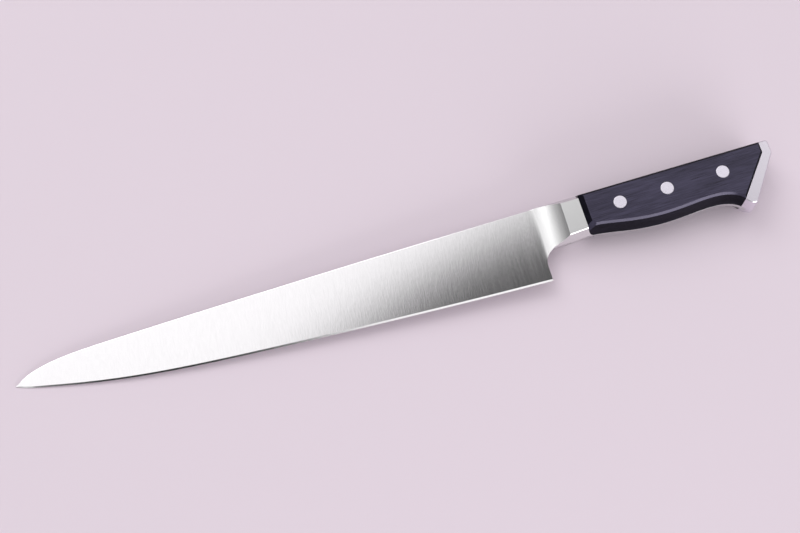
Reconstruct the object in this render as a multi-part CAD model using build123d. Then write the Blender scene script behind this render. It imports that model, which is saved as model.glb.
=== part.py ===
from build123d import *
import math
import os

# Carving knife lying on its side: a long slicing blade with a full tang, two bolster halves,
# two handle scales, an end cap and three two-piece rivets.
# Millimetres. X runs from the tip to the butt, Y from the cutting edge to the spine, Z up.
# The knife is built with the scale's front plane at X zero, the tang's spine at Y zero and the
# blade's middle plane at Z zero, and is then moved to the middle of its own bottom face.

# Blade
blade_length = 270.0
blade_height = 38.3
blade_thickness = 2.8
heel_to_scale_length = 24.2
edge_shoulder_thickness = 0.5
edge_land_thickness = 0.1
edge_bevel_height = 0.8
spine_easing_width = 0.35

# Choil behind the heel
choil_radius = 8.0
neck_depth = 22.4

# Bolster
bolster_thickness = 15.0
bolster_face_length = 9.2
bolster_spine_angle = 25.0
bolster_edge_bevel_width = 0.4
ramp_length = 15.6
ramp_skew_angle = 3.2
ramp_toe_step_height = 0.15

# Handle
handle_length = 100.5
handle_thickness = 19.0
belly_front_depth = 21.8
belly_depth = 26.5
beak_depth = 33.8
belly_wall_angle = 23.0
spine_wall_angle = 14.0
cheek_bevel_width = 1.2
edge_bevel_angle = 45.0
front_bevel_width = 2.5
corner_bevel_width = 3.5
rear_bevel_width = 1.1
scale_corner_radius = 2.6
scale_corner_drop_height = 0.15

# End cap
cap_thickness = 16.8
cap_band_width = 4.6
cap_slot_depth = 2.8
cap_edge_bevel_width = 0.45
cap_beak_radius = 1.8
cap_top_radius = 1.5
cap_facet_radius = 3.0
scale_rear_facet_depth = 7.3
scale_rear_slant_angle = 38.8
butt_facet_depth = 8.6
butt_slant_angle = 35.6

# Rivets
rivet_head_diameter = 6.6
rivet_head_depth = 2.5
rivet_tube_diameter = 4.8
rivet_shank_diameter = 3.2
rivet_depth = 11.5
rivet_front_distance = 18.8
rivet_rear_distance = 23.0
rivet_middle_share = 0.458
rivet_clearance = 0.03
rivet_end_gap_length = 0.3

# One overrun serves all cuts, and one tolerance picks edges by their place
overrun = 40.0
place_tolerance = 0.01

# Outline shares: along the blade from the tip, then the drop of the spine and of the edge
# as shares of the blade's height
blade_shares = [
    (0.0020, 0.3170, 0.3265),
    (0.0075, 0.2975, 0.3400),
    (0.0180, 0.2525, 0.3680),
    (0.0350, 0.1985, 0.4030),
    (0.0600, 0.1500, 0.4430),
    (0.1000, 0.1080, 0.5040),
    (0.1500, 0.0870, 0.5720),
    (0.2200, 0.0740, 0.6490),
    (0.3200, 0.0590, 0.7270),
    (0.4500, 0.0430, 0.7980),
    (0.6000, 0.0265, 0.8640),
    (0.8000, 0.0120, 0.9390),
    (1.0000, 0.0025, 1.0000),
]

# Belly of the handle: shares of the way from the scale's front to the beak's point, then of the
# belly's depth for its grip and of the beak's depth for its rear
belly_shares = [
    (0.110, 0.862),
    (0.268, 0.950),
    (0.445, 1.000),
    (0.609, 0.985),
    (0.780, 0.958),
    (0.878, 1.000),
]
beak_shares = [
    (0.946, 0.874),
    (0.971, 0.950),
    (0.993, 0.992),
    (1.024, 1.003),
    (1.060, 1.000),
]

# Worked-out sizes
tang_half = blade_thickness / 2
cheek_level = handle_thickness / 2
bolster_level = bolster_thickness / 2
cap_level = cap_thickness / 2
heel_x = -heel_to_scale_length
tip_x = heel_x - blade_length
bolster_front_x = -bolster_face_length
scale_rear_x = handle_length - cap_band_width
beak_x = handle_length - (beak_depth - butt_facet_depth) * math.tan(math.radians(butt_slant_angle))
well_below = -blade_height - beak_depth - overrun
belly_lean = math.tan(math.radians(belly_wall_angle))
scale_spine_lean = math.tan(math.radians(spine_wall_angle))
bolster_spine_lean = math.tan(math.radians(bolster_spine_angle))
bevel_lean = math.tan(math.radians(edge_bevel_angle))
neck_share = (bolster_front_x - tip_x) / blade_length
neck_height = blade_height * (1 + (blade_shares[-1][2] - blade_shares[-2][2])
                              / (blade_shares[-1][0] - blade_shares[-2][0]) * (neck_share - 1))

rivet_front_x = rivet_front_distance
rivet_rear_x = scale_rear_x - rivet_rear_distance
rivet_middle_x = rivet_front_x + (rivet_rear_x - rivet_front_x) * rivet_middle_share
rivet_places = [rivet_front_x, rivet_middle_x, rivet_rear_x]
rivet_names = ["front", "middle", "rear"]
rivet_seat_level = cheek_level - rivet_head_depth
rivet_reach = 2 * rivet_seat_level - rivet_end_gap_length
rivet_bore_diameter = rivet_shank_diameter + 2 * rivet_clearance
rivet_hole_diameter = rivet_tube_diameter + 2 * rivet_clearance
rivet_counterbore_diameter = rivet_head_diameter + 2 * rivet_clearance


def shoulder_half(height):
    """Half thickness behind the edge bevel, thinner where the blade runs out at the tip."""
    return edge_shoulder_thickness / 2 * height / (height + edge_shoulder_thickness / 2)


wedge_slope = (tang_half - shoulder_half(neck_height)) / neck_height


def blade_section(x, spine_y, edge_y):
    """Closed outline of the blade's wedge-shaped cross-section at x."""
    height = spine_y - edge_y
    bevel = edge_bevel_height * height / (height + 2 * edge_bevel_height)
    easing = spine_easing_width * height / (height + 4 * spine_easing_width)
    land = edge_land_thickness / 2 * height / (height + edge_land_thickness / 2)
    shoulder = shoulder_half(height)
    top = shoulder + wedge_slope * (height - bevel)
    side = [
        (spine_y, top - easing),
        (spine_y - easing, top - wedge_slope * easing),
        (edge_y + bevel, shoulder),
        (edge_y, land),
    ]
    ring = side + [(y, -z) for y, z in reversed(side)]
    return Wire.make_polygon([(x, y, z) for y, z in ring], close=True)


def prism(points, bottom, top):
    """Upright prism over a plan outline of (x, y) points."""
    face = Face(Wire.make_polygon([(x, y, bottom) for x, y in points], close=True))
    return Solid.extrude(face, Vector(0, 0, top - bottom))


def block(start, end, low, high, bottom, top):
    """Upright block between two places along X, two along Y and two along Z."""
    return prism([(start, low), (end, low), (end, high), (start, high)], bottom, top)


def rivet_cylinder(x, diameter, bottom, length):
    """Upright cylinder on a rivet's axis."""
    return Solid.make_cylinder(diameter / 2, length, Plane((x, -rivet_depth, bottom)))


def section_bar(points, start, end):
    """Bar along X over an outline of (y, z) points."""
    face = Face(Wire.make_polygon([(start, y, z) for y, z in points], close=True))
    return Solid.extrude(face, Vector(end - start, 0, 0))


def side_bar(points, start, end):
    """Bar along Y over an outline of (x, z) points."""
    face = Face(Wire.make_polygon([(x, start, z) for x, z in points], close=True))
    return Solid.extrude(face, Vector(0, end - start, 0))


def leaning_stack(face, layers):
    """Plan face carried up through layers of (bottom, top, lean): the wall leans towards the spine."""
    shift = 0
    solids = []
    for bottom, top, lean in layers:
        rise = top - bottom
        start = face.moved(Location((0, shift, bottom)))
        solids.append(Solid.extrude(start, Vector(0, lean * rise, rise)))
        shift += lean * rise
    stack = solids[0]
    for solid in solids[1:]:
        stack = stack + solid
    return stack


def lower_copy(shape):
    """The same piece on the other side of the blade's middle plane."""
    return shape.mirror(Plane.XY)


# Plan outline that the tang, bolster, scales and end cap share
def belly_edges():
    """Belly line from the scale's front to the beak, as one smooth curve."""
    points = [(0, -belly_front_depth)]
    points += [(x * beak_x, -y * belly_depth) for x, y in belly_shares]
    points += [(x * beak_x, -y * beak_depth) for x, y in beak_shares]
    return Edge.make_spline([Vector(x, y, 0) for x, y in points]), points[-1]


def plan_above_belly():
    """Plan face behind the heel, above the choil, the neck and the belly."""
    belly, last = belly_edges()
    arc_centre = (heel_x + choil_radius, -neck_depth - choil_radius)
    diagonal = choil_radius * math.sqrt(0.5)
    arc = Edge.make_three_point_arc(
        Vector(heel_x, arc_centre[1], 0),
        Vector(arc_centre[0] - diagonal, arc_centre[1] + diagonal, 0),
        Vector(arc_centre[0], -neck_depth, 0),
    )
    top = overrun
    bottom = well_below
    end = handle_length + overrun
    edges = [
        Edge.make_line((heel_x, bottom, 0), (heel_x, arc_centre[1], 0)),
        arc,
        Edge.make_line((arc_centre[0], -neck_depth, 0), (bolster_front_x, -neck_depth, 0)),
        Edge.make_line((bolster_front_x, -neck_depth, 0), (0, -belly_front_depth, 0)),
        belly,
        Edge.make_line((last[0], last[1], 0), (end, last[1], 0)),
        Edge.make_line((end, last[1], 0), (end, top, 0)),
        Edge.make_line((end, top, 0), (heel_x - overrun, top, 0)),
        Edge.make_line((heel_x - overrun, top, 0), (heel_x - overrun, bottom, 0)),
        Edge.make_line((heel_x - overrun, bottom, 0), (heel_x, bottom, 0)),
    ]
    return Face(Wire(edges))


def scale_corner_face():
    """Plan face outside the rounded lower front corner of a scale."""
    centre_y = -belly_front_depth - scale_corner_drop_height + scale_corner_radius
    diagonal = scale_corner_radius * (1 - math.sqrt(0.5))
    corner_low = centre_y - scale_corner_radius
    bottom = well_below
    edges = [
        Edge.make_three_point_arc(
            Vector(0, centre_y, 0),
            Vector(diagonal, corner_low + diagonal, 0),
            Vector(scale_corner_radius, corner_low, 0),
        ),
        Edge.make_line((scale_corner_radius, corner_low, 0), (scale_corner_radius, bottom, 0)),
        Edge.make_line((scale_corner_radius, bottom, 0), (0, bottom, 0)),
        Edge.make_line((0, bottom, 0), (0, centre_y, 0)),
    ]
    return Face(Wire(edges))


def slanted_rear(facet_x, facet_depth, slant):
    """Plan points of a rear outline: a square facet at the spine, then a slant towards the belly."""
    reach = beak_depth + overrun - facet_depth
    return [
        (facet_x, overrun),
        (facet_x, -facet_depth),
        (facet_x - reach * math.tan(math.radians(slant)), -facet_depth - reach),
    ]


def on_outline(point, rear, slant):
    """Whether a point stands over a rear outline."""
    facet_x, facet_y = rear[1]
    line_x = facet_x - max(0, facet_y - point.Y) * math.tan(math.radians(slant))
    return abs(point.X - line_x) < place_tolerance


def region_ahead(rear):
    """Plan outline of all that lies ahead of a rear outline."""
    low = rear[-1][1]
    start = tip_x - overrun
    return rear + [(start, low), (start, overrun)]


plan = plan_above_belly()
corner = scale_corner_face()
scale_rear = slanted_rear(scale_rear_x, scale_rear_facet_depth, scale_rear_slant_angle)
tang_rear = [(x + cap_slot_depth, y) for x, y in scale_rear]
butt_rear = slanted_rear(handle_length, butt_facet_depth, butt_slant_angle)


# Blade with its full tang
def make_blade():
    """Wedge-ground blade, loft and choil, with the flat tang behind the bolster's front."""
    sections = []
    for along, spine_drop, edge_drop in blade_shares:
        x = tip_x + along * blade_length
        sections.append(blade_section(x, -spine_drop * blade_height, -edge_drop * blade_height))
    sections.append(blade_section(bolster_front_x, 0, -neck_height))
    wedge = Solid.make_loft(sections, ruled=False)
    behind_heel = block(heel_x, 0, well_below, overrun, -overrun, overrun)
    outline = Solid.extrude(plan.moved(Location((0, 0, -overrun))), Vector(0, 0, 2 * overrun))
    wedge = wedge - (behind_heel - outline)
    tang = Solid.extrude(plan.moved(Location((0, 0, -tang_half))), Vector(0, 0, blade_thickness))
    tang = tang & prism(region_ahead(tang_rear), -tang_half, tang_half)
    tang = tang & block(bolster_front_x, handle_length, well_below, 0, -tang_half, tang_half)
    blade = wedge + tang
    for x in rivet_places:
        blade = blade - rivet_cylinder(x, rivet_hole_diameter, -tang_half, blade_thickness)
    return blade


def spine_mask(level, lean, bevel, start, end):
    """Bar that trims the spine side: an upright tang edge, a leaning wall and, where asked, a bevel."""
    wall_top = level - bevel
    inset = (wall_top - tang_half) * lean
    points = [(well_below, 0), (0, 0), (0, tang_half), (-inset, wall_top)]
    if bevel:
        points.append((-inset - bevel * bevel_lean, level))
    points.append((well_below, level))
    return section_bar(points, start, end)


# Bolster
def ramp_cutter():
    """Cylinder that grinds the concave ramp from the blade's face up to the bolster's face."""
    rise = bolster_level - tang_half
    radius = (ramp_length ** 2 + rise ** 2) / (2 * rise)
    along = Vector(math.tan(math.radians(ramp_skew_angle)), 1, wedge_slope).normalized()
    away = Vector(0, -wedge_slope, 1).normalized()
    tangent = Vector(bolster_front_x - ramp_length, 0, tang_half)
    base = tangent + away * radius - along * (blade_height + overrun)
    cylinder = Solid.make_cylinder(radius, 2 * (blade_height + overrun), Plane(base, z_dir=along))
    toe_run = math.sqrt(2 * radius * ramp_toe_step_height)
    toe_x = tangent.X + toe_run
    reach = blade_height + overrun
    skew = reach * math.tan(math.radians(ramp_skew_angle))
    toe_line = [(toe_x - skew, -reach), (toe_x + skew, reach)]
    front = heel_x - reach
    ahead = prism(toe_line + [(front, reach), (front, -reach)], -tang_half, bolster_level + overrun)
    return cylinder, ahead


def make_bolster(blade, scale_blank):
    """Upper half of the bolster, seated on the blade and against the scale's front."""
    bevel_level = bolster_level - bolster_edge_bevel_width
    layers = [
        (0, tang_half, 0),
        (tang_half, bevel_level, belly_lean),
        (bevel_level, bolster_level, bevel_lean),
    ]
    bevel = bolster_edge_bevel_width
    mask = spine_mask(bolster_level, bolster_spine_lean, bevel, heel_x, scale_corner_radius)
    half = leaning_stack(plan, layers) & mask
    cylinder, ahead = ramp_cutter()
    return half - cylinder - ahead - scale_blank - blade


# Handle scales
def make_scale_blank():
    """Upper scale before its front, rear and spine are trimmed, with its rounded front corner."""
    bevel_level = cheek_level - cheek_bevel_width
    layers = [(tang_half, bevel_level, belly_lean), (bevel_level, cheek_level, bevel_lean)]
    behind = block(0, handle_length, well_below, overrun, tang_half, cheek_level)
    rounding = Solid.extrude(corner.moved(Location((0, 0, tang_half))), Vector(0, 0, cheek_level - tang_half))
    return (leaning_stack(plan, layers) & behind) - rounding


def rear_bevel_cutter(rear):
    """Cutters for the bevel along the scale's rear facet and slant."""
    facet_x = rear[1][0]
    depth = rear[1][1]
    cut = [
        (facet_x - rear_bevel_width - overrun, cheek_level + overrun),
        (facet_x + overrun, cheek_level + overrun),
        (facet_x + overrun, cheek_level - rear_bevel_width - overrun),
    ]
    facet = side_bar(cut, well_below, overrun)
    slant = facet.rotate(Axis((facet_x, depth, 0), (0, 0, 1)), -scale_rear_slant_angle)
    return facet, slant


def front_bevel_cutter(width):
    """Cutter for a bevel across the scale's front plane."""
    cut = [
        (width + overrun, cheek_level + overrun),
        (-overrun, cheek_level + overrun),
        (-overrun, cheek_level - width - overrun),
    ]
    return side_bar(cut, well_below, overrun)


def make_scale(blank):
    """Upper handle scale with its front facet, its bevels and its stepped rivet holes."""
    mask = spine_mask(cheek_level, scale_spine_lean, cheek_bevel_width, 0, handle_length)
    scale = blank & mask & prism(region_ahead(scale_rear), tang_half, cheek_level)
    wall_top_y = (cheek_level - cheek_bevel_width - tang_half) * belly_lean - belly_front_depth
    upright = Axis((0, wall_top_y, 0), (0, 0, 1))
    corner_cut = front_bevel_cutter(corner_bevel_width).rotate(upright, edge_bevel_angle)
    facet, slant = rear_bevel_cutter(scale_rear)
    scale = scale - front_bevel_cutter(front_bevel_width) - corner_cut - facet - slant
    for x in rivet_places:
        scale = scale - rivet_cylinder(x, rivet_counterbore_diameter, rivet_seat_level, rivet_head_depth)
        scale = scale - rivet_cylinder(x, rivet_hole_diameter, 0, cheek_level)
    return scale


# End cap
def butt_corners(half, low, high):
    """Upright edges of the butt whose ends lie between two places along Y."""
    found = []
    for edge in half.edges():
        ends = [edge @ 0, edge @ 1]
        upright = abs(ends[0].Z - ends[1].Z) > place_tolerance
        if upright and all(on_outline(p, butt_rear, butt_slant_angle) and low < p.Y < high for p in ends):
            found.append(edge)
    return found


def make_cap(blade):
    """End cap with its fillets and its rim bevel, slotted over the tang's end."""
    half = leaning_stack(plan, [(0, tang_half, 0), (tang_half, cap_level, belly_lean)])
    half = half & spine_mask(cap_level, scale_spine_lean, 0, 0, handle_length)
    half = half & prism(region_ahead(butt_rear), 0, cap_level)
    half = half - prism(region_ahead(scale_rear), 0, cap_level)
    facet_top = -butt_facet_depth + place_tolerance
    facet_bottom = -butt_facet_depth - place_tolerance
    half = half.fillet(cap_beak_radius, butt_corners(half, well_below, facet_bottom))
    half = half.fillet(cap_top_radius, butt_corners(half, facet_top, place_tolerance))
    half = half.fillet(cap_facet_radius, butt_corners(half, facet_bottom, facet_top))
    cheek = half.faces().sort_by(Axis.Z)[-1]
    rim = [edge for edge in cheek.edges() if not on_outline(edge @ 0.5, scale_rear, scale_rear_slant_angle)]
    half = half.chamfer(cap_edge_bevel_width, None, rim)
    cap = half + lower_copy(half)
    return cap - blade


# Rivets: a headed stud whose shank is driven into a headed tube
def make_stud(x):
    """Upper half of a rivet, its head flush with the upper cheek."""
    head = rivet_cylinder(x, rivet_head_diameter, rivet_seat_level, rivet_head_depth)
    shank = rivet_cylinder(x, rivet_shank_diameter, rivet_seat_level - rivet_reach, rivet_reach)
    return head + shank


def make_tube(x):
    """Lower half of a rivet, its head flush with the lower cheek."""
    head = rivet_cylinder(x, rivet_head_diameter, -cheek_level, rivet_head_depth)
    tube = rivet_cylinder(x, rivet_tube_diameter, -rivet_seat_level, rivet_reach)
    bore = rivet_cylinder(x, rivet_bore_diameter, -rivet_seat_level, rivet_reach)
    return head + tube - bore


blade = make_blade()
scale_blank = make_scale_blank()
bolster = make_bolster(blade, scale_blank)
scale = make_scale(scale_blank)
cap = make_cap(blade)

pieces = {
    "blade_and_tang": blade,
    "bolster_upper": bolster,
    "bolster_lower": lower_copy(bolster),
    "handle_scale_upper": scale,
    "handle_scale_lower": lower_copy(scale),
    "end_cap": cap,
}
for name, x in zip(rivet_names, rivet_places):
    pieces["rivet_stud_" + name] = make_stud(x)
    pieces["rivet_tube_" + name] = make_tube(x)

# Move the knife so that the middle of its bottom is at the origin
box = Compound(list(pieces.values())).bounding_box()
to_origin = Location((-(box.min.X + box.max.X) / 2, -(box.min.Y + box.max.Y) / 2, -box.min.Z))
os.makedirs("parts", exist_ok=True)
for name, piece in pieces.items():
    export_step(piece.moved(to_origin), "parts/" + name + ".step")
print("overall", box.size.X, box.size.Y, box.size.Z)
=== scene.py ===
import math

import bmesh
import bpy
import numpy as np
from bpy.props import FloatProperty, FloatVectorProperty, IntProperty, PointerProperty
from bpy.types import Operator, Panel, PropertyGroup
from mathutils import Euler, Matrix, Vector
from mathutils.bvhtree import BVHTree


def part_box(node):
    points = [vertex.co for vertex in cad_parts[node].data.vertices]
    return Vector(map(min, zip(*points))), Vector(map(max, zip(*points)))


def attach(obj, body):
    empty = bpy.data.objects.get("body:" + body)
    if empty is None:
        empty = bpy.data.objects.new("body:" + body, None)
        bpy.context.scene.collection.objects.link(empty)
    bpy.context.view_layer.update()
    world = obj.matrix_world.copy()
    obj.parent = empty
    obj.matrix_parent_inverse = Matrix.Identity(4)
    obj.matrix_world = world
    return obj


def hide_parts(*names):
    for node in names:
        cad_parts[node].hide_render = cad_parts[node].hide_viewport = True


bl_info = {
    "name": "Carving Knife Dressing",
    "version": (1, 0, 0),
    "blender": (4, 5, 0),
    "location": "3D View > Sidebar > Knife",
    "description": "Finishes a carving knife with satin steel, polished steel and laminated wood",
    "category": "Object",
}

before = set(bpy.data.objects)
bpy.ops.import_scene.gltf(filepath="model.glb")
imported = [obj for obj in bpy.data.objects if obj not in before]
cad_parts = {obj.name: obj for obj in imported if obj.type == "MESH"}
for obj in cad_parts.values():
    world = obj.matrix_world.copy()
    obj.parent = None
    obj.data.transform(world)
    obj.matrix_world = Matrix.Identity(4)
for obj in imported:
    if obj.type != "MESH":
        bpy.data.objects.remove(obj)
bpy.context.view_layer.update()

MM = 0.001

# Distances within which points are merged
CAD_WELD = 0.0005 * MM
BLADE_WELD = 0.0003 * MM
RIVET_WELD = 0.002 * MM

# Range that a noise texture's values usually keep within
NOISE_LOW = 0.3
NOISE_HIGH = 0.7

# Depth of the relief that bump gives
GRIND_DEPTH = 0.03 * MM
POLISH_DEPTH = 0.002 * MM
GRAIN_DEPTH = 0.03 * MM

# Places where the CAD blade is measured, how they crowd at the tip, and how far inside its ends they stay
PROBE_COUNT = 120
PROBE_CROWDING = 1.6
PROBE_INSET = 0.2 * MM

# Smoothing of what is measured: from which place on and how often, and the last places that give a slope
STEADY_START = 24
STEADY_PASSES = 6
TAIL_PROBES = 8

# Search for the foot of the bolster's ramp: rows across the blade, and how closely each foot is found
TOE_ROWS = 12
TOE_PRECISION = 0.001 * MM

# Rows of points round the ground blade: above and below the choil's height, and round the eased spine
UPPER_ROWS = 22
LOWER_ROWS = 7
EASING_ROWS = 4

# Rings of the ground blade: how they crowd at the tip, where the first and the last one stand, and how
# many lie under the bolster
STATION_CROWDING = 1.5
TIP_INSET = 0.25 * MM
BLADE_END_INSET = 12 * MM
RINGS_UNDER_BOLSTER = 9

# Distances behind the heel at which the choil's top and the end of its arc are measured
CHOIL_PROBE = 0.01 * MM
CHOIL_END = 7.95 * MM

# Angles past which an edge is rounded or shaded crisp
STEEL_CORNER = math.radians(20)
WOOD_CORNER = math.radians(15)
CRISP_CORNER = math.radians(35)
CRISP_TANG = math.radians(25)
CRISP_BLADE = math.radians(8)
CRISP_RIVET = math.radians(40)

# Share of a normal past which a scale's face counts as a side, whose wood is painted in shade
SIDE_SLANT = math.sin(math.radians(30))

# Where the knife touches the floor: the cheek behind its front bevel, and the blade well ahead of it
CHEEK_INSET = 2 * MM
REST_REACH = 20 * MM

# Heights, as sines of the elevation, between which the surround brightens
LOW_END = 0.5
OVERHEAD_START = 0.86

# Lamps in metres, and the camera's sensor in millimetres
KEY_PLACE = (-0.6, 1.5, 1.7)
KEY_SIZE = (1.5, 1.5)
FRONT_PLACE = (0.6, -1.7, 0.5)
FRONT_SIZE = (1.6, 0.8)
SENSOR_WIDTH = 36

# Patches of the surround: direction, reach and soft rim in degrees, and brightness
EDGE_PATCH = ((-0.33, -0.67, 1.0), 12, 3, 0.02)
FACET_PATCH = ((-0.95, 0.2, 0.2), 13, 8, 0.5)
BLADE_PATCH = ((-0.1, 0.27, 1.0), 5, 5, 1.02)
BOLSTER_PATCH = ((0.24, 0.26, 1.0), 5, 6, 0.8)


# Settings that a user would change
class KnifeShape(PropertyGroup):
    """Shape of the ground blade, the rivets and the softened edges."""

    crown: FloatProperty(
        name="Crown", description="How far the ground face bulges, as a share of its rise", default=0.5,
        min=0.0, max=0.9)
    shoulder: FloatProperty(
        name="Shoulder", description="Thickness behind the edge bevel", unit="LENGTH", default=0.8 * MM)
    land: FloatProperty(
        name="Land", description="Thickness of the cutting edge", unit="LENGTH", default=0.1 * MM)
    bevel_height: FloatProperty(
        name="Edge Bevel", description="Height of the edge bevel", unit="LENGTH", default=0.95 * MM)
    spine_easing: FloatProperty(
        name="Spine Easing", description="Radius that eases the spine", unit="LENGTH", default=0.35 * MM)
    stations: IntProperty(
        name="Stations", description="Cross-sections along the blade", default=240, min=20)
    toe_blend: FloatProperty(
        name="Toe Blend", description="Length over which the blade's face sweeps up to the bolster",
        unit="LENGTH", default=8 * MM, min=1 * MM)
    sweep_rise: FloatProperty(
        name="Sweep Rise", description="How far the blade's face sweeps up before it meets the ramp",
        unit="LENGTH", default=0.22 * MM, min=0.05 * MM)
    neck_blend: FloatProperty(
        name="Neck Blend", description="Height over which the sweep fades out under the ramp's foot",
        unit="LENGTH", default=7 * MM, min=1 * MM)
    sweep_stations: IntProperty(
        name="Sweep Stations", description="Cross-sections along the sweep up to the bolster",
        default=50, min=10)
    rivet_head_depth: FloatProperty(
        name="Rivet Head Depth", description="Depth of a rivet head", unit="LENGTH", default=2.5 * MM)
    rivet_shank_diameter: FloatProperty(
        name="Rivet Shank", description="Diameter of a rivet's shank", unit="LENGTH", default=4.8 * MM)
    rivet_rounding: FloatProperty(
        name="Rivet Rounding", description="Rounding of a rivet head's rim",
        unit="LENGTH", default=0.18 * MM)
    rivet_segments: IntProperty(
        name="Rivet Segments", description="Sides of a rivet head", default=64, min=12)
    steel_softening: FloatProperty(
        name="Steel Softening", description="Rounding of the bolster's and the cap's edges", unit="LENGTH",
        default=0.12 * MM)
    wood_softening: FloatProperty(
        name="Wood Softening", description="Rounding of the scales' edges", unit="LENGTH", default=0.3 * MM)


class KnifeSteel(PropertyGroup):
    """Colours and grinding marks of the knife's metal."""

    blade_color: FloatVectorProperty(
        name="Blade Colour", description="Colour of the satin ground blade",
        subtype="COLOR", size=3, min=0.0, max=1.0, default=(0.82, 0.81, 0.82))
    polished_color: FloatVectorProperty(
        name="Polished Colour", description="Colour of the bolster",
        subtype="COLOR", size=3, min=0.0, max=1.0, default=(0.71, 0.71, 0.71))
    cap_color: FloatVectorProperty(
        name="Cap Colour", description="Colour of the end cap",
        subtype="COLOR", size=3, min=0.0, max=1.0, default=(0.74, 0.70, 0.77))
    rivet_color: FloatVectorProperty(
        name="Rivet Colour", description="Colour of the rivet heads",
        subtype="COLOR", size=3, min=0.0, max=1.0, default=(0.87, 0.83, 0.93))
    grind_pitch: FloatProperty(
        name="Grind Pitch", description="Width of one grinding line across the blade",
        unit="LENGTH", default=0.65 * MM, min=0.05 * MM)
    grind_length: FloatProperty(
        name="Grind Length", description="Length of one grinding line from spine to edge",
        unit="LENGTH", default=3 * MM, min=1 * MM)
    blade_roughness: FloatProperty(
        name="Blade Roughness", description="Roughness of the satin faces", default=0.14, min=0.0, max=1.0)
    polished_roughness: FloatProperty(
        name="Polished Roughness", description="Roughness of the polished bolster and cap",
        default=0.26, min=0.0, max=1.0)


class KnifeWood(PropertyGroup):
    """Colours and grain of the handle scales, and the painted shade on their sides."""

    dark_color: FloatVectorProperty(
        name="Dark Layer", description="Colour of the darkest layers of the laminated wood",
        subtype="COLOR", size=3, min=0.0, max=1.0, default=(0.005, 0.0045, 0.011))
    light_color: FloatVectorProperty(
        name="Light Layer", description="Colour of the lightest streaks of the laminated wood",
        subtype="COLOR", size=3, min=0.0, max=1.0, default=(0.041, 0.037, 0.067))
    streak_pitch: FloatProperty(
        name="Streak Pitch", description="Width of one streak across the handle",
        unit="LENGTH", default=0.32 * MM, min=0.05 * MM)
    streak_length: FloatProperty(
        name="Streak Length", description="Length of one streak along the handle",
        unit="LENGTH", default=9 * MM, min=1 * MM)
    roughness: FloatProperty(
        name="Wood Roughness", description="Roughness of the satin wood", default=0.31, min=0.0, max=1.0)
    sheen: FloatProperty(
        name="Cheek Sheen", description="Specular level of the polished cheeks",
        default=0.65, min=0.0, max=1.0)
    # Side Sheen and Side Shade paint shade on the handle's sides: a weaker reflection and a darker colour
    # than the cheeks
    side_sheen: FloatProperty(
        name="Side Sheen", description="Specular level of the handle's duller sides",
        default=0.1, min=0.0, max=1.0)
    side_shade: FloatProperty(
        name="Side Shade", description="Brightness of the handle's sides beside its cheeks",
        default=0.22, min=0.0)
    sheen_color: FloatVectorProperty(
        name="Reflection Tint", description="Tint of the wood's reflections",
        subtype="COLOR", size=3, min=0.0, max=1.0, default=(0.80, 0.74, 1.0))


class KnifeStage(PropertyGroup):
    """Camera, floor and light."""

    floor_color: FloatVectorProperty(
        name="Floor Colour", description="Colour of the plain pale floor",
        subtype="COLOR", size=3, min=0.0, max=1.0, default=(0.74, 0.645, 0.72))
    floor_size: FloatProperty(
        name="Floor Size", description="Side of the square floor", unit="LENGTH", default=6.0, min=0.5)
    camera_place: FloatVectorProperty(
        name="Camera Place", description="Where the camera stands", subtype="TRANSLATION", size=3,
        unit="LENGTH", default=(-26.17 * MM, -134.25 * MM, 553.88 * MM))
    camera_turn: FloatVectorProperty(
        name="Camera Turn", description="How the camera is turned", subtype="EULER", size=3,
        unit="ROTATION",
        default=(math.radians(15.049), math.radians(1.563), math.radians(-16.606)))
    camera_lens: FloatProperty(
        name="Lens", description="Focal length for a sensor 36 mm wide", default=50.58, min=10.0)
    low_strength: FloatProperty(
        name="Low Surround", description="Brightness of the surround near the horizon",
        default=0.5, min=0.0)
    overhead_strength: FloatProperty(
        name="Overhead Surround", description="Brightness of the surround overhead", default=1.2, min=0.0)
    dim_overhead: FloatVectorProperty(
        name="Dim Overhead", description="Direction of the dim patch that the blade's heel reflects",
        subtype="DIRECTION", size=3, default=(0.2, -0.1, 1.0))
    dim_radius: FloatProperty(
        name="Dim Radius", description="Reach of the dim patch", unit="ROTATION", default=0.315)
    dim_softness: FloatProperty(
        name="Dim Softness", description="Width of the dim patch's soft rim", unit="ROTATION", default=0.11)
    dim_level: FloatProperty(
        name="Dim Level", description="Brightness inside the dim patch", default=0.06, min=0.0, max=1.0)
    key_glow: FloatProperty(
        name="Key Glow", description="Brightness of the key lamp's face", default=2.1, min=0.0)
    front_glow: FloatProperty(
        name="Front Glow", description="Brightness of the low front lamp's face", default=4.2, min=0.0)


# Node helpers
def new_material(name):
    """Material with an empty node tree and a Principled shader, and that tree and shader."""
    material = bpy.data.materials.new(name)
    material.use_nodes = True
    tree = material.node_tree
    tree.nodes.clear()
    output = tree.nodes.new("ShaderNodeOutputMaterial")
    shader = tree.nodes.new("ShaderNodeBsdfPrincipled")
    tree.links.new(shader.outputs["BSDF"], output.inputs["Surface"])
    return material, tree, shader


def stretched_noise(tree, cell, detail=2.0, roughness=0.5):
    """Noise on Object coordinates whose cells are stretched to the given size in metres."""
    place = tree.nodes.new("ShaderNodeTexCoord")
    mapping = tree.nodes.new("ShaderNodeMapping")
    mapping.inputs["Scale"].default_value = [1 / side for side in cell]
    noise = tree.nodes.new("ShaderNodeTexNoise")
    noise.inputs["Scale"].default_value = 1.0
    noise.inputs["Detail"].default_value = detail
    noise.inputs["Roughness"].default_value = roughness
    tree.links.new(place.outputs["Object"], mapping.inputs["Vector"])
    tree.links.new(mapping.outputs["Vector"], noise.inputs["Vector"])
    return noise.outputs["Fac"]


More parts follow.
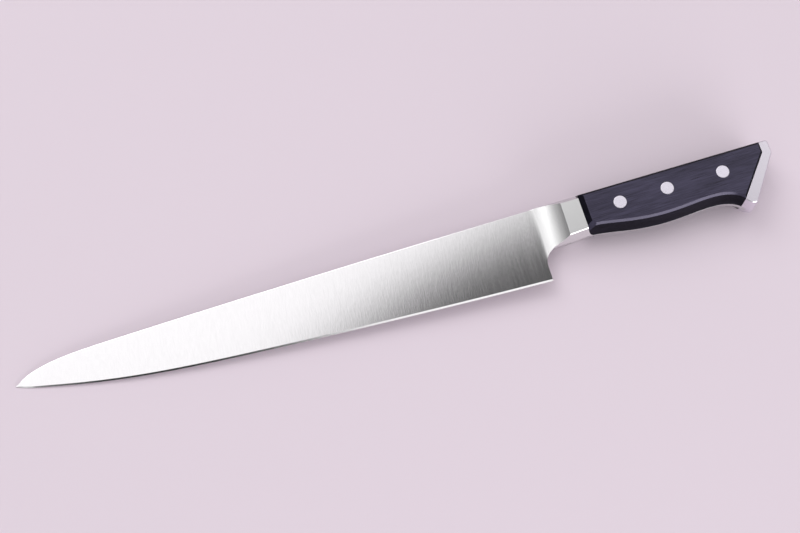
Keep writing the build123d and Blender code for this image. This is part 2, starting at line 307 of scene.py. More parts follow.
def ramp_color(tree, factor, stops):
    """Colour ramp over a factor. Each stop is a position and a colour."""
    ramp = tree.nodes.new("ShaderNodeValToRGB")
    elements = ramp.color_ramp.elements
    elements[0].position, elements[1].position = stops[0][0], stops[-1][0]
    elements[0].color, elements[1].color = (*stops[0][1], 1), (*stops[-1][1], 1)
    for position, color in stops[1:-1]:
        elements.new(position).color = (*color, 1)
    tree.links.new(factor, ramp.inputs["Fac"])
    return ramp.outputs["Color"]


def spread(tree, factor, low, high):
    """Value that runs from low to high as the factor runs over the noise's usual range."""
    node = tree.nodes.new("ShaderNodeMapRange")
    node.inputs["From Min"].default_value = NOISE_LOW
    node.inputs["From Max"].default_value = NOISE_HIGH
    node.inputs["To Min"].default_value = low
    node.inputs["To Max"].default_value = high
    tree.links.new(factor, node.inputs["Value"])
    return node.outputs["Result"]


def bump(tree, shader, height, strength, depth):
    """Bump on the shader's normal."""
    node = tree.nodes.new("ShaderNodeBump")
    node.inputs["Strength"].default_value = strength
    node.inputs["Distance"].default_value = depth
    tree.links.new(height, node.inputs["Height"])
    tree.links.new(node.outputs["Normal"], shader.inputs["Normal"])


def shade(color, factor):
    """A colour made darker or lighter."""
    return tuple(min(1.0, c * factor) for c in color)


def marked_color(tree, marks, color, darkest, lightest):
    """Colour that follows the marks between two shades of itself."""
    stops = [(NOISE_LOW, shade(color, darkest)), (NOISE_HIGH, shade(color, lightest))]
    return ramp_color(tree, marks, stops)


def smooth_range(tree, value, start, end, low, high):
    """Value that eases from low to high as another runs from start to end."""
    node = tree.nodes.new("ShaderNodeMapRange")
    node.interpolation_type = "SMOOTHSTEP"
    node.inputs["From Min"].default_value = start
    node.inputs["From Max"].default_value = end
    node.inputs["To Min"].default_value = low
    node.inputs["To Max"].default_value = high
    tree.links.new(value, node.inputs["Value"])
    return node.outputs["Result"]


def arithmetic(tree, operation, first, second):
    """Math node whose inputs are sockets or plain numbers."""
    node = tree.nodes.new("ShaderNodeMath")
    node.operation = operation
    for socket, value in zip(node.inputs, (first, second)):
        if isinstance(value, bpy.types.NodeSocket):
            tree.links.new(value, socket)
        else:
            socket.default_value = value
    return node.outputs[0]


# Materials
def satin_steel(settings):
    """Ground steel with fine lines from spine to edge, whose tone turns into the bolster's at its front."""
    material, tree, shader = new_material("satin_steel")
    lines = stretched_noise(tree, (settings.grind_pitch, settings.grind_length, settings.grind_length), 3.0)
    bands = stretched_noise(tree, (1.2 * MM, 25 * MM, 25 * MM))
    place = tree.nodes.new("ShaderNodeTexCoord")
    along = tree.nodes.new("ShaderNodeSeparateXYZ")
    tree.links.new(place.outputs["Object"], along.inputs["Vector"])
    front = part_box("bolster_upper")[0].x
    polish = smooth_range(tree, along.outputs["X"], front - 5 * MM, front + 1 * MM, 0.0, 1.0)
    blend = tree.nodes.new("ShaderNodeMix")
    blend.data_type = "RGBA"
    factor, ground, polished = (blend.inputs[i] for i in (0, 6, 7))
    tree.links.new(polish, factor)
    tree.links.new(marked_color(tree, lines, settings.blade_color, 0.98, 1.015), ground)
    polished.default_value = (*settings.polished_color, 1)
    tree.links.new(blend.outputs[2], shader.inputs["Base Color"])
    shader.inputs["Metallic"].default_value = 1.0
    roughness = spread(tree, bands, settings.blade_roughness - 0.01, settings.blade_roughness + 0.01)
    tree.links.new(roughness, shader.inputs["Roughness"])
    shader.inputs["Anisotropic"].default_value = 0.4
    across = tree.nodes.new("ShaderNodeCombineXYZ")
    across.inputs["X"].default_value = 1.0
    tree.links.new(across.outputs["Vector"], shader.inputs["Tangent"])
    bump(tree, shader, lines, 0.36, GRIND_DEPTH)
    return material


def marked_steel(name, color, cell, tones, roughnesses):
    """Metal whose faint marks vary its tone and its roughness."""
    material, tree, shader = new_material(name)
    marks = stretched_noise(tree, cell, 3.0)
    tree.links.new(marked_color(tree, marks, color, *tones), shader.inputs["Base Color"])
    tree.links.new(spread(tree, marks, *roughnesses), shader.inputs["Roughness"])
    shader.inputs["Metallic"].default_value = 1.0
    bump(tree, shader, marks, 0.05, POLISH_DEPTH)
    return material


def polished_steel(name, color, settings):
    """Polished steel with faint buffing marks from edge to spine."""
    roughness = settings.polished_roughness
    buffing = (0.4 * MM, 4 * MM, 4 * MM)
    return marked_steel(name, color, buffing, (0.985, 1.01), (roughness - 0.01, roughness + 0.01))


def rivet_steel(settings):
    """Rivet metal with faint sanding marks along the handle."""
    roughness = settings.polished_roughness
    sanding = (3 * MM, 0.3 * MM, 3 * MM)
    roughnesses = (roughness, roughness + 0.08)
    return marked_steel("rivet_steel", settings.rivet_color, sanding, (0.96, 1.03), roughnesses)


def laminated_wood(name, share, sheen, settings):
    """Black resin-laminated wood with fine streaks along the handle, its colours times a share; a share
    below 1 paints shade.
    """
    material, tree, shader = new_material(name)
    streak = (settings.streak_length, settings.streak_pitch, settings.streak_pitch)
    streaks = stretched_noise(tree, streak, 4.0, 0.6)
    clouds = stretched_noise(tree, (40 * MM, 5 * MM, 5 * MM))
    cloud_share = 0.35
    grain = tree.nodes.new("ShaderNodeMix")
    grain.inputs["Factor"].default_value = cloud_share
    tree.links.new(streaks, grain.inputs["A"])
    tree.links.new(clouds, grain.inputs["B"])
    layers = [(0.38, shade(settings.dark_color, share)), (0.62, shade(settings.light_color, share))]
    tree.links.new(ramp_color(tree, grain.outputs["Result"], layers), shader.inputs["Base Color"])
    roughness = spread(tree, streaks, settings.roughness - 0.05, settings.roughness + 0.08)
    tree.links.new(roughness, shader.inputs["Roughness"])
    shader.inputs["Specular IOR Level"].default_value = sheen
    shader.inputs["Specular Tint"].default_value = (*settings.sheen_color, 1)
    bump(tree, shader, streaks, 0.2, GRAIN_DEPTH)
    return material


# Meshes
def new_piece(name, mesh, material, slot, *nodes):
    """Object that stands for CAD nodes, at the origin, with one material."""
    piece = bpy.data.objects.new(name, mesh)
    bpy.context.scene.collection.objects.link(piece)
    mesh.materials.clear()
    mesh.materials.append(material)
    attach(piece, "root")
    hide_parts(*nodes)
    return piece


def merged_copy(node):
    """The CAD node's surface as a bmesh with shared vertices and its flat faces whole."""
    shape = bmesh.new()
    shape.from_mesh(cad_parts[node].data)
    bmesh.ops.remove_doubles(shape, verts=shape.verts, dist=CAD_WELD)
    flat_angle = math.radians(0.05)
    bmesh.ops.dissolve_limit(shape, angle_limit=flat_angle, verts=shape.verts, edges=shape.edges)
    return shape


def soften(shape, width, corner_angle, stays_crisp):
    """Round the edges of a bmesh that turn by more than an angle, but for places that stay crisp."""
    edges = [
        edge for edge in shape.edges
        if len(edge.link_faces) == 2 and edge.calc_face_angle(0) > corner_angle
        and not stays_crisp((edge.verts[0].co + edge.verts[1].co) / 2)
    ]
    bmesh.ops.bevel(shape, geom=edges, offset=width, offset_type="WIDTH", segments=3, profile=0.5,
                    affect="EDGES", clamp_overlap=False, loop_slide=True)


def mark_crisp(shape, crisp_angle):
    """Smooth faces whose edges stay crisp where they turn by more than an angle."""
    for face in shape.faces:
        face.smooth = True
    for edge in shape.edges:
        edge.smooth = len(edge.link_faces) == 2 and edge.calc_face_angle(0) < crisp_angle


def baked_mesh(name, mesh, modifier_kind, **settings):
    """Mesh that a modifier makes from another, with the modifier used up."""
    holder = bpy.data.objects.new(name, mesh)
    bpy.context.scene.collection.objects.link(holder)
    modifier = holder.modifiers.new(name, modifier_kind)
    for key, value in settings.items():
        if key.startswith("Socket_"):
            modifier[key] = value
        else:
            setattr(modifier, key, value)
    seen = holder.evaluated_get(bpy.context.evaluated_depsgraph_get())
    baked = bpy.data.meshes.new_from_object(seen)
    bpy.data.objects.remove(holder)
    bpy.data.meshes.remove(mesh)
    baked.name = name
    return baked


def finished_mesh(name, *shapes):
    """Mesh from bmeshes, whose large flat faces stay flat beside their rounded edges."""
    joined = bmesh.new()
    for shape in shapes:
        part = bpy.data.meshes.new(name)
        shape.to_mesh(part)
        shape.free()
        joined.from_mesh(part)
        bpy.data.meshes.remove(part)
    mesh = bpy.data.meshes.new(name)
    joined.to_mesh(mesh)
    joined.free()
    return baked_mesh(name, mesh, "WEIGHTED_NORMAL", mode="FACE_AREA", weight=50, keep_sharp=True)


def on_side(face, front_end):
    """Whether a scale's face belongs to its walls or end bevels, painted in shade, and not to its cheek or
    belly bevel.
    """
    normal = face.normal
    at_front = face.center.x < front_end and normal.x < -SIDE_SLANT
    return at_front or normal.x > SIDE_SLANT or normal.y > SIDE_SLANT or abs(normal.z) < SIDE_SLANT


def rivet_axes():
    """Places of the rivets' axes at mid thickness, from tip to butt."""
    names = sorted(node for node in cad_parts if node.startswith("rivet_stud"))
    middle = sum(corner.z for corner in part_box("blade_and_tang")) / 2
    centres = [sum(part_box(node), Vector()) / 2 for node in names]
    return sorted((Vector((c.x, c.y, middle)) for c in centres), key=lambda c: c.x)


def surface_tree(node):
    """Search tree over a CAD node's surface."""
    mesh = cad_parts[node].data
    return BVHTree.FromPolygons([v.co for v in mesh.vertices], [p.vertices for p in mesh.polygons])


class BladeForm:
    """Measures of the CAD blade, and the ground blade's thickness that follows from them."""

    def __init__(self, shape):
        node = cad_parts["blade_and_tang"]
        low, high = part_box("blade_and_tang")
        self.middle = (low.z + high.z) / 2
        self.tip = low.x
        self.heel = min(node.data.vertices, key=lambda v: v.co.y).co.x
        self.tree = surface_tree("blade_and_tang")
        self.shape = shape
        span = np.linspace(0, 1, PROBE_COUNT) ** PROBE_CROWDING
        self.places = self.tip + PROBE_INSET + (self.heel - self.tip - 2 * PROBE_INSET) * span
        self.spine_line = np.array([self.ray(x, 1) for x in self.places])
        self.edge_line = np.array([self.ray(x, -1) for x in self.places])
        near_spine = self.spine_line - 1.5 * shape.spine_easing
        self.thick_line = np.array([self.top(x, y) for x, y in zip(self.places, near_spine)])
        for line in (self.spine_line, self.edge_line, self.thick_line):
            self.steady(line)
        self.measure_toe()

    def ray(self, x, side):
        """Y of the blade's outline at x, seen from the spine's side (1) or from the edge's side (-1)."""
        hit = self.tree.ray_cast(Vector((x, side, self.middle)), Vector((0, -side, 0)))[0]
        return hit.y

    def top(self, x, y):
        """Half thickness of the CAD blade at a place in plan."""
        hit = self.tree.ray_cast(Vector((x, y, 1)), Vector((0, 0, -1)))[0]
        return hit.z - self.middle

    def measure_toe(self):
        """Find, row by row, where the bolster's ramp stands a sweep's rise above the ground face."""
        low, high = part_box("bolster_upper")
        ramp = surface_tree("bolster_upper")
        self.neck_y = low.y + self.shape.neck_blend / 4
        first_row = low.y + self.shape.neck_blend

        def above_ground(x, y):
            hit = ramp.ray_cast(Vector((x, y, 1)), Vector((0, 0, -1)))[0]
            return hit.z - self.middle - self.ground(x, y) if hit else 0

        rise = self.shape.sweep_rise
        run = rise
        feet = []
        for y in np.linspace(first_row, high.y - self.shape.neck_blend / 4, TOE_ROWS):
            ahead, behind = low.x, (low.x + high.x) / 2
            while behind - ahead > TOE_PRECISION:
                between = (ahead + behind) / 2
                if above_ground(between, y) < rise:
                    ahead = between
                else:
                    behind = between
            feet.append((y, behind, (above_ground(behind + run, y) - rise) / run))
        rows, places, slopes = np.array(feet).T
        self.foot_line = np.polyfit(rows, places, 2)
        self.foot_slope = np.polyfit(rows, slopes, 1)

    def sweep(self, x, y):
        """Height of the sweep over the ground face, which meets the ramp at its foot in height and slope."""
        blend = self.shape.toe_blend
        ahead = float(np.polyval(self.foot_line, y)) - x
        share = min(1.0, max(0.0, 1 - ahead / blend))
        above = min(1.0, max(0.0, 1 - (self.neck_y - y) / self.shape.neck_blend))
        power = float(np.polyval(self.foot_slope, y)) * blend / self.shape.sweep_rise
        return self.shape.sweep_rise * share ** power * above * above * (3 - 2 * above)

    def steady(self, line):
        """Smooth a measured line where the stations are wide apart."""
        start = STEADY_START
        for _ in range(STEADY_PASSES):
            neighbours = (line[start - 1:-2] + line[start + 1:]) / 2
            line[start:-1] = (line[start:-1] + neighbours) / 2

    def at(self, line, x):
        """A line's value at x, carried straight on behind the heel."""
        if x <= self.places[-1]:
            return float(np.interp(x, self.places, line))
        slope = (line[-1] - line[-TAIL_PROBES]) / (self.places[-1] - self.places[-TAIL_PROBES])
        return float(line[-1] + slope * (x - self.places[-1]))

    def ground(self, x, y):
        """Half thickness of the ground face at a place in plan, without the sweep at the bolster."""
        spine, edge, top = (self.at(line, x) for line in (self.spine_line, self.edge_line, self.thick_line))
        height = spine - edge
        bevel = self.bevel(height)
        shoulder = self.shoulder(height)
        share = min(1.0, max(0.0, (y - edge - bevel) / (height - bevel)))
        rise = max(0.0, top - shoulder)
        return shoulder + rise * share + rise * self.shape.crown * share * (1 - share)

    def half_thickness(self, x, y):
        """Half thickness of the blade at a place in plan."""
        return self.ground(x, y) + self.sweep(x, y)

    def bevel(self, height):
        """Height of the edge bevel where the blade has a given height."""
        return self.shape.bevel_height * height / (height + 2 * self.shape.bevel_height)

    def shoulder(self, height):
        """Half thickness behind the edge bevel where the blade has a given height."""
        return self.shape.shoulder / 2 * height / (height + self.shape.shoulder / 2)


def blade_ring(form, x, rows, ground_edge):
    """Closed ring of points round the blade at x, from the upper edge over the spine to the lower edge."""
    spine = form.at(form.spine_line, x)
    height = spine - form.at(form.edge_line, x)
    easing = form.shape.spine_easing * height / (height + 4 * form.shape.spine_easing)
    side = []
    if ground_edge:
        land = form.shape.land / 2 * height / (height + form.shape.land / 2)
        side.append((spine - height, land))
    for y in rows:
        side.append((y, form.half_thickness(x, y)))
    top = form.half_thickness(x, spine)
    for step in range(1, EASING_ROWS + 1):
        turn = math.pi / 2 * step / EASING_ROWS
        side.append((spine - easing + easing * math.sin(turn), top - easing + easing * math.cos(turn)))
    ring = [(x, y, form.middle + z) for y, z in side]
    ring += [(x, y, form.middle - z) for y, z in reversed(side)]
    return ring


def loft(shape, rings, flat_end):
    """Skin between rings of equal length, with a flat rear end where asked."""
    grid = [[shape.verts.new(point) for point in ring] for ring in rings]
    count = len(grid[0])
    for first, second in zip(grid, grid[1:]):
        for i in range(count):
            j = (i + 1) % count
            shape.faces.new((first[i], first[j], second[j], second[i]))
    if flat_end:
        shape.faces.new(grid[-1])
    return grid


def upper_rows(form, spine, low):
    """Places of the upper rows of points, from a low one up to where the spine's easing starts."""
    start = spine - min(form.shape.spine_easing, (spine - low) * 0.1)
    return [low + (start - low) * i / UPPER_ROWS for i in range(UPPER_ROWS + 1)]


def lower_rows(shoulder, middle):
    """Places of the lower rows of points, from the edge bevel's shoulder to the choil's height."""
    return [shoulder + (middle - shoulder) * j / LOWER_ROWS for j in range(LOWER_ROWS)]


def rings_before_heel(form, choil_share):
    """Rings from the tip to the heel, which crowd at the tip and along the sweep."""
    sweep_start = form.heel - 1.5 * form.shape.toe_blend
    first_x = form.tip + TIP_INSET
    span = np.linspace(0, 1, form.shape.stations) ** STATION_CROWDING
    wide = first_x + (sweep_start - first_x) * span
    close = np.linspace(sweep_start, form.heel, form.shape.sweep_stations)
    rings = []
    for x in np.concatenate((wide, close[1:])):
        spine = form.at(form.spine_line, x)
        height = spine - form.at(form.edge_line, x)
        middle = spine - height * choil_share
        shoulder = spine - height + form.bevel(height)
        rows = lower_rows(shoulder, middle) + upper_rows(form, spine, middle)
        rings.append(blade_ring(form, x, rows, True))
    return rings


def rings_behind_heel(form, choil_top, end_x):
    """Rings along the choil's arc and on to the place under the bolster where the tang takes over."""
    arc = form.ray(form.heel + CHOIL_END, -1) - choil_top
    turns = np.linspace(0, math.pi / 2, form.shape.sweep_stations)
    under = np.linspace(form.heel + arc, end_x, RINGS_UNDER_BOLSTER)
    rings = []
    for x in np.concatenate((form.heel + arc * (1 - np.cos(turns)), under[1:])):
        low = choil_top if x == form.heel else form.ray(min(x, end_x), -1)
        rings.append(blade_ring(form, x, upper_rows(form, form.at(form.spine_line, x), low), False))
    return rings


def ground_blade(shape_settings, end_x):
    """Blade from the tip to a place under the bolster, with its choil."""
    form = BladeForm(shape_settings)
    choil_top = form.ray(form.heel + CHOIL_PROBE, -1)
    heel_spine = form.at(form.spine_line, form.heel)
    heel_height = heel_spine - form.at(form.edge_line, form.heel)
    rings = rings_before_heel(form, (heel_spine - choil_top) / heel_height)
    shape = bmesh.new()
    grid = loft(shape, rings, False)
    tip_y = sum(point[1] for point in rings[0]) / len(rings[0])
    tip = shape.verts.new(Vector((form.tip, tip_y, form.middle)))
    first, last = grid[0], grid[-1]
    for i in range(len(first)):
        shape.faces.new((first[(i + 1) % len(first)], first[i], tip))
    below = LOWER_ROWS + 2
    shape.faces.new(last[:below] + last[-below:])
    loft(shape, rings_behind_heel(form, choil_top, end_x), True)
    bmesh.ops.remove_doubles(shape, verts=shape.verts, dist=BLADE_WELD)
    bmesh.ops.recalc_face_normals(shape, faces=shape.faces)
    return shape


# Rivets
def pick(tree, index, values):
    """Index Switch over a list of sockets and plain numbers."""
    node = tree.nodes.new("GeometryNodeIndexSwitch")
    node.data_type = "FLOAT"
    while len(node.index_switch_items) < len(values):
        node.index_switch_items.new()
    tree.links.new(index, node.inputs["Index"])
    for place, value in enumerate(values):
        socket = node.inputs[str(place)]
        if isinstance(value, bpy.types.NodeSocket):
            tree.links.new(value, socket)
        else:
            socket.default_value = value
    return node.outputs["Output"]


def rivet_outline(tree, given):
    """Radii and heights of half a rivet, from the middle of its head's face to the knife's middle plane."""
    head = arithmetic(tree, "MULTIPLY", given["Head Diameter"], 0.5)
    shank = arithmetic(tree, "MULTIPLY", given["Shank Diameter"], 0.5)
    top = given["Half Length"]
    seat = arithmetic(tree, "SUBTRACT", top, given["Head Depth"])
    rounding = given["Rim Rounding"]
    flat = arithmetic(tree, "SUBTRACT", head, rounding)
    rim = arithmetic(tree, "SUBTRACT", top, rounding)
    face = arithmetic(tree, "SUBTRACT", flat, rounding)
    radii = [0.0, face, flat]
    heights = [top, top, top]
    for turn in (30, 60):
        out = arithmetic(tree, "MULTIPLY", rounding, math.sin(math.radians(turn)))
        up = arithmetic(tree, "MULTIPLY", rounding, math.cos(math.radians(turn)))
        radii.append(arithmetic(tree, "ADD", flat, out))
        heights.append(arithmetic(tree, "ADD", rim, up))
    radii += [head, head, shank, shank, 0.0]
    heights += [rim, seat, seat, 0.0, 0.0]
    return radii, heights


def turned_half(tree, given):
    """Half a rivet: a grid wrapped round the axis, a row for each point of the outline."""
    radii, heights = rivet_outline(tree, given)
    grid = tree.nodes.new("GeometryNodeMeshGrid")
    grid.inputs["Size X"].default_value = 1.0
    grid.inputs["Size Y"].default_value = 1.0
    grid.inputs["Vertices X"].default_value = len(radii)
    tree.links.new(arithmetic(tree, "ADD", given["Segments"], 1), grid.inputs["Vertices Y"])
    share = tree.nodes.new("ShaderNodeSeparateXYZ")
    tree.links.new(grid.outputs["UV Map"], share.inputs[0])
    row = arithmetic(tree, "ROUND", arithmetic(tree, "MULTIPLY", share.outputs["X"], len(radii) - 1), 0)
    turn = arithmetic(tree, "MULTIPLY", share.outputs["Y"], math.tau)
    radius = pick(tree, row, radii)
    across = arithmetic(tree, "MULTIPLY", radius, arithmetic(tree, "COSINE", turn, 0))
    along = arithmetic(tree, "MULTIPLY", radius, arithmetic(tree, "SINE", turn, 0))
    spot = tree.nodes.new("ShaderNodeCombineXYZ")
    tree.links.new(across, spot.inputs["X"])
    tree.links.new(along, spot.inputs["Y"])
    tree.links.new(pick(tree, row, heights), spot.inputs["Z"])
    move = tree.nodes.new("GeometryNodeSetPosition")
    tree.links.new(grid.outputs["Mesh"], move.inputs["Geometry"])
    tree.links.new(spot.outputs["Vector"], move.inputs["Position"])
    weld = tree.nodes.new("GeometryNodeMergeByDistance")
    weld.inputs["Distance"].default_value = RIVET_WELD
    tree.links.new(move.outputs["Geometry"], weld.inputs["Geometry"])
    corner = tree.nodes.new("GeometryNodeInputMeshEdgeAngle")
    gentle = tree.nodes.new("FunctionNodeCompare")
    gentle.operation = "LESS_THAN"
    gentle.inputs["B"].default_value = CRISP_RIVET
    tree.links.new(corner.outputs["Unsigned Angle"], gentle.inputs["A"])
    smooth = tree.nodes.new("GeometryNodeSetShadeSmooth")
    smooth.domain = "EDGE"
    tree.links.new(weld.outputs["Geometry"], smooth.inputs["Geometry"])
    tree.links.new(gentle.outputs["Result"], smooth.inputs["Shade Smooth"])
    return smooth.outputs["Geometry"]


def rivet_tree():
    """Geometry Nodes that set one half of a rivet from above and one from below on each axis."""
    tree = bpy.data.node_groups.new("rivet_row", "GeometryNodeTree")
    sockets = tree.interface
    sockets.new_socket("Axes", in_out="INPUT", socket_type="NodeSocketGeometry")
    for name in ("Head Diameter", "Head Depth", "Shank Diameter", "Half Length", "Rim Rounding"):
        sockets.new_socket(name, in_out="INPUT", socket_type="NodeSocketFloat").subtype = "DISTANCE"
    sockets.new_socket("Segments", in_out="INPUT", socket_type="NodeSocketInt")
    sockets.new_socket("Material", in_out="INPUT", socket_type="NodeSocketMaterial")
    sockets.new_socket("Rivets", in_out="OUTPUT", socket_type="NodeSocketGeometry")
    given = tree.nodes.new("NodeGroupInput").outputs
    half = turned_half(tree, given)
    halves = tree.nodes.new("GeometryNodeJoinGeometry")
    for half_turn in (0.0, math.pi):
        setting = tree.nodes.new("GeometryNodeInstanceOnPoints")
        setting.inputs["Rotation"].default_value = (half_turn, 0.0, 0.0)
        tree.links.new(given["Axes"], setting.inputs["Points"])
        tree.links.new(half, setting.inputs["Instance"])
        tree.links.new(setting.outputs["Instances"], halves.inputs["Geometry"])
    real = tree.nodes.new("GeometryNodeRealizeInstances")
    tree.links.new(halves.outputs["Geometry"], real.inputs["Geometry"])
    dress = tree.nodes.new("GeometryNodeSetMaterial")
    tree.links.new(real.outputs["Geometry"], dress.inputs["Geometry"])
    tree.links.new(given["Material"], dress.inputs["Material"])
    out = tree.nodes.new("NodeGroupOutput")
    tree.links.new(dress.outputs["Geometry"], out.inputs["Rivets"])
    return tree


# Operators
class KNIFE_OT_finish_blade(Operator):
    """Grind the blade, keep its tang, and finish both in satin steel"""

    bl_idname = "knife.finish_blade"
    bl_label = "Finish Blade"

    def execute(self, context):
        shape = context.scene.knife_shape
        steel = context.scene.knife_steel
        end_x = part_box("bolster_upper")[1].x - BLADE_END_INSET
        blade = ground_blade(shape, end_x)
        tang = merged_copy("blade_and_tang")
        whole = [*tang.verts, *tang.edges, *tang.faces]
        cut = bmesh.ops.bisect_plane(tang, geom=whole, plane_co=(end_x, 0, 0), plane_no=(1, 0, 0),
                                     clear_inner=True)
        rim = [edge for edge in cut["geom_cut"] if isinstance(edge, bmesh.types.BMEdge)]
        bmesh.ops.contextual_create(tang, geom=rim)
        mark_crisp(blade, CRISP_BLADE)
        mark_crisp(tang, CRISP_TANG)
        mesh = finished_mesh("blade_and_tang_satin", blade, tang)
        new_piece("blade_and_tang_satin", mesh, satin_steel(steel), "blade_steel", "blade_and_tang")
        return {"FINISHED"}


class KNIFE_OT_finish_bolster(Operator):
    """Finish the bolster halves and the end cap in polished steel"""

    bl_idname = "knife.finish_bolster"
    bl_label = "Finish Bolster and Cap"

    def execute(self, context):
        steel = context.scene.knife_steel
        bolster_steel = polished_steel("bolster_steel", steel.polished_color, steel)
        cap_steel = polished_steel("cap_steel", steel.cap_color, steel)
        metals = {"bolster_upper": bolster_steel, "bolster_lower": bolster_steel, "end_cap": cap_steel}
        width = context.scene.knife_shape.steel_softening
        blade_low, blade_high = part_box("blade_and_tang")
        middle = (blade_low.z + blade_high.z) / 2
        seat_reach = 0.8 * (blade_high.z - blade_low.z)
        bolster_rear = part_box("bolster_upper")[1].x

        def on_blade(place):
            return place.x < bolster_rear and abs(place.z - middle) < seat_reach

        for node, metal in metals.items():
            name = node + "_polished"
            shape = merged_copy(node)
            soften(shape, width, STEEL_CORNER, on_blade)
            mark_crisp(shape, CRISP_CORNER)
            new_piece(name, finished_mesh(name, shape), metal, "polished_steel", node)
        return {"FINISHED"}


class KNIFE_OT_finish_rivets(Operator):
    """Turn the rivets with their rounded rims and set them through the scales"""

    bl_idname = "knife.finish_rivets"
    bl_label = "Finish Rivets"

    def execute(self, context):
        shape = context.scene.knife_shape
        stud_low, stud_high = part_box("rivet_stud_front")
        tube_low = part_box("rivet_tube_front")[0]
        axes = bpy.data.meshes.new("rivet_axes")
        axes.from_pydata(rivet_axes(), [], [])
        material = rivet_steel(context.scene.knife_steel)
        tree = rivet_tree()
        values = {
            "Head Diameter": stud_high.x - stud_low.x,
            "Head Depth": shape.rivet_head_depth,
            "Shank Diameter": shape.rivet_shank_diameter,
            "Half Length": (stud_high.z - tube_low.z) / 2,
            "Rim Rounding": shape.rivet_rounding,
            "Segments": shape.rivet_segments,
            "Material": material,
        }
        inputs = {item.identifier: values[item.name] for item in tree.interface.items_tree
                  if item.in_out == "INPUT" and item.name in values}
        mesh = baked_mesh("rivets_sanded", axes, "NODES", node_group=tree, **inputs)
        nodes = [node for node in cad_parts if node.startswith("rivet_")]
        new_piece("rivets_sanded", mesh, material, "rivet_metal", *nodes)
        return {"FINISHED"}


class KNIFE_OT_finish_scales(Operator):
    """Finish the handle scales in laminated wood, with painted shade on their sides"""

    bl_idname = "knife.finish_scales"
    bl_label = "Finish Scales"

    def execute(self, context):
        wood = context.scene.knife_wood
        cheeks = laminated_wood("laminated_wood", 1.0, wood.sheen, wood)
        # The sides take a darker copy of the wood with a weaker reflection: painted shade on the walls, the
        # front facet and the end bevels
        sides = laminated_wood("laminated_wood_shaded_sides", wood.side_shade, wood.side_sheen, wood)
        width = context.scene.knife_shape.wood_softening
        low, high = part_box("rivet_stud_front")
        hole_reach = (high.x - low.x) / 2 + width
        axes = rivet_axes()
        front_end = (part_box("handle_scale_upper")[0].x + low.x) / 2

        def on_hole(place):
            return any((place - axis).xy.length < hole_reach for axis in axes)

        for node in ("handle_scale_upper", "handle_scale_lower"):
            name = node + "_wood"
            shape = merged_copy(node)
            soften(shape, width, WOOD_CORNER, on_hole)
            mark_crisp(shape, CRISP_CORNER)
            piece = new_piece(name, finished_mesh(name, shape), cheeks, "handle_wood", node)
            piece.data.materials.append(sides)
            # Faces that turn sideways or to the ends take the copy with painted shade
            for face in piece.data.polygons:
                face.material_index = int(on_side(face, front_end))
        return {"FINISHED"}


class KNIFE_OT_set_stage(Operator):
    """Set the floor, the light and the camera"""

    bl_idname = "knife.set_stage"
    bl_label = "Set Stage"

    def execute(self, context):
        stage = context.scene.knife_stage
        make_floor(stage)
        make_light(stage)
        make_camera(stage)
        context.scene.view_settings.view_transform = "Standard"
        return {"FINISHED"}


# Stage
def floor_slope():
    """Where the floor meets the lower cheek, and how it climbs towards the tip that rests on it."""
    pivot_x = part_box("handle_scale_lower")[0].x + CHEEK_INSET
    points = [v.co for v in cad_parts["blade_and_tang"].data.vertices]
    slope = min(point.z / (pivot_x - point.x) for point in points if point.x < pivot_x - REST_REACH)
    return pivot_x, slope


def make_floor(stage):
    """Plain floor that climbs to the tip and can be seen through from below."""
    pivot_x, slope = floor_slope()
    half = stage.floor_size / 2
    corners = [(x, y, (pivot_x - x) * slope)
               for x, y in ((-half, -half), (half, -half), (half, half), (-half, half))]
    mesh = bpy.data.meshes.new("floor")
    mesh.from_pydata(corners, [], [(0, 1, 2, 3)])
    floor = bpy.data.objects.new("floor", mesh)
    bpy.context.scene.collection.objects.link(floor)
    material, tree, shader = new_material("floor_paint")
    shader.inputs["Base Color"].default_value = (*stage.floor_color, 1)
    shader.inputs["Roughness"].default_value = 0.8
    side = tree.nodes.new("ShaderNodeNewGeometry")
    clear = tree.nodes.new("ShaderNodeBsdfTransparent")
    mix = tree.nodes.new("ShaderNodeMixShader")
    output = next(node for node in tree.nodes if node.type == "OUTPUT_MATERIAL")
    tree.links.new(side.outputs["Backfacing"], mix.inputs["Fac"])
    tree.links.new(shader.outputs["BSDF"], mix.inputs[1])
    tree.links.new(clear.outputs["BSDF"], mix.inputs[2])
    tree.links.new(mix.outputs["Shader"], output.inputs["Surface"])
    mesh.materials.append(material)


def soft_lamp(name, place, size, glow):
    """Large rectangular lamp whose face glows evenly and looks at the knife."""
    lamp = bpy.data.lights.new(name, "AREA")
    lamp.shape = "RECTANGLE"
    lamp.size, lamp.size_y = size
    lamp.energy = glow * math.pi * size[0] * size[1]
    holder = bpy.data.objects.new(name, lamp)
    holder.location = place
    holder.rotation_euler = (-holder.location).to_track_quat("-Z", "Y").to_euler()
    bpy.context.scene.collection.objects.link(holder)


def dim_patch(tree, direction, centre, radius, softness, level):
    """Share of light round a direction of the surround: level inside the patch, 1 outside it."""
    node = tree.nodes.new("ShaderNodeVectorMath")
    node.operation = "DOT_PRODUCT"
    node.inputs[1].default_value = Vector(centre).normalized()
    tree.links.new(direction, node.inputs[0])
    inside, outside = math.cos(radius - softness / 2), math.cos(radius + softness / 2)
    return smooth_range(tree, node.outputs["Value"], outside, inside, 1.0, level)


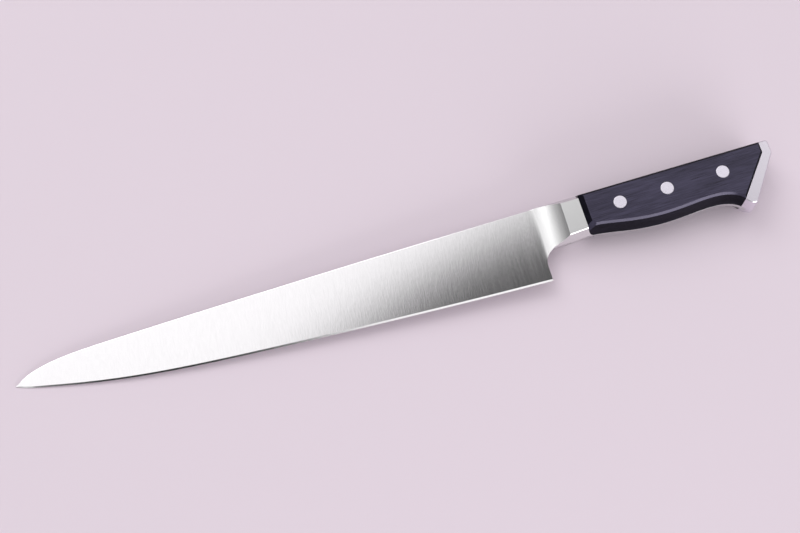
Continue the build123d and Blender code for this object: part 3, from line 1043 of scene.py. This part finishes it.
def make_light(stage):
    """Surround that is bright overhead, dimmed in patches, and two large soft lamps."""
    world = bpy.data.worlds.new("studio")
    bpy.context.scene.world = world
    world.use_nodes = True
    tree = world.node_tree
    place = tree.nodes.new("ShaderNodeTexCoord")
    direction = place.outputs["Generated"]
    height = tree.nodes.new("ShaderNodeSeparateXYZ")
    tree.links.new(direction, height.inputs["Vector"])
    level = smooth_range(tree, height.outputs["Z"], LOW_END, OVERHEAD_START,
                         stage.low_strength, stage.overhead_strength)
    patches = [(stage.dim_overhead, stage.dim_radius, stage.dim_softness, stage.dim_level)]
    for centre, reach, rim, dimmed in (EDGE_PATCH, FACET_PATCH, BLADE_PATCH, BOLSTER_PATCH):
        patches.append((centre, math.radians(reach), math.radians(rim), dimmed))
    for centre, radius, softness, dimmed in patches:
        share = dim_patch(tree, direction, centre, radius, softness, dimmed)
        level = arithmetic(tree, "MULTIPLY", level, share)
    background = tree.nodes["Background"]
    background.inputs["Color"].default_value = (1.0, 0.99, 1.0, 1)
    tree.links.new(level, background.inputs["Strength"])
    soft_lamp("key_lamp", KEY_PLACE, KEY_SIZE, stage.key_glow)
    soft_lamp("front_lamp", FRONT_PLACE, FRONT_SIZE, stage.front_glow)


def make_camera(stage):
    """Camera that sees the knife from the photo's angle."""
    lens = bpy.data.cameras.new("camera")
    lens.lens = stage.camera_lens
    lens.sensor_width = SENSOR_WIDTH
    lens.clip_start = 0.01
    camera = bpy.data.objects.new("camera", lens)
    camera.location = stage.camera_place
    camera.rotation_euler = Euler(stage.camera_turn)
    bpy.context.scene.collection.objects.link(camera)
    bpy.context.scene.camera = camera


class KNIFE_PT_panel(Panel):
    """Lists the steps that dress the knife."""

    bl_idname = "KNIFE_PT_panel"
    bl_label = "Carving Knife"
    bl_space_type = "VIEW_3D"
    bl_region_type = "UI"
    bl_category = "Knife"

    def draw(self, context):
        for step in STEPS:
            self.layout.operator(step.bl_idname)


STEPS = (KNIFE_OT_finish_blade, KNIFE_OT_finish_bolster, KNIFE_OT_finish_rivets, KNIFE_OT_finish_scales,
         KNIFE_OT_set_stage)
CLASSES = (KnifeShape, KnifeSteel, KnifeWood, KnifeStage, *STEPS, KNIFE_PT_panel)


def register():
    """Add the settings, the steps and the panel to Blender."""
    for cls in CLASSES:
        bpy.utils.register_class(cls)
    bpy.types.Scene.knife_shape = PointerProperty(type=KnifeShape)
    bpy.types.Scene.knife_steel = PointerProperty(type=KnifeSteel)
    bpy.types.Scene.knife_wood = PointerProperty(type=KnifeWood)
    bpy.types.Scene.knife_stage = PointerProperty(type=KnifeStage)


def unregister():
    """Take the settings, the steps and the panel out of Blender."""
    del bpy.types.Scene.knife_stage
    del bpy.types.Scene.knife_wood
    del bpy.types.Scene.knife_steel
    del bpy.types.Scene.knife_shape
    for cls in reversed(CLASSES):
        bpy.utils.unregister_class(cls)


def main():
    """Dress the knife."""
    register()
    bpy.ops.knife.finish_blade()
    bpy.ops.knife.finish_bolster()
    bpy.ops.knife.finish_rivets()
    bpy.ops.knife.finish_scales()
    bpy.ops.knife.set_stage()


if __name__ == "__main__":
    main()
